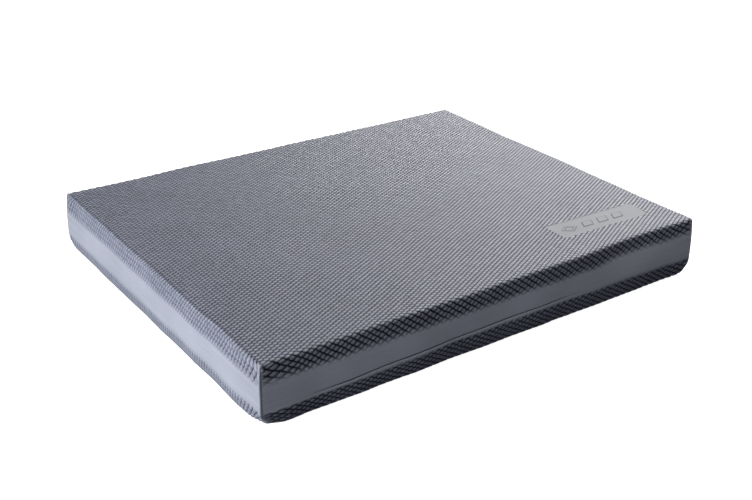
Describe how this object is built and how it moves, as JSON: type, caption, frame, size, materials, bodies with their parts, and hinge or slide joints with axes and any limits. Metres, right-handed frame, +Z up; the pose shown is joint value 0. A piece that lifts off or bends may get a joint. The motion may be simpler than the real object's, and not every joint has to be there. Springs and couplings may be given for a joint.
{
  "type": "foam balance pad",
  "caption": "Thick flat rectangular foam pad with an embossed lozenge grip on its top and bottom, plain sides and a smooth label patch in one corner, for standing balance exercises.",
  "frame": {"origin": "middle of the underside, on the floor", "axes": "+X along the long side, +Y along the short side away from the label, +Z up"},
  "size_m": [0.5, 0.402, 0.063],
  "materials": {
    "embossed_foam": "matte closed-cell thermoplastic foam, embossed all over with small lozenges",
    "core_foam": "matte closed-cell thermoplastic foam, smooth pressed edge",
    "label_foam": "smooth satin pressed foam"
  },
  "bodies": {
    "root": {"bottom_cover_sheet": "embossed_foam", "bottom_core_sheet": "core_foam", "lower_core_sheet": "core_foam", "upper_core_sheet": "core_foam", "top_core_sheet": "core_foam", "top_cover_sheet": "embossed_foam", "label_patch": "label_foam"}
  },
  "joints": []
}
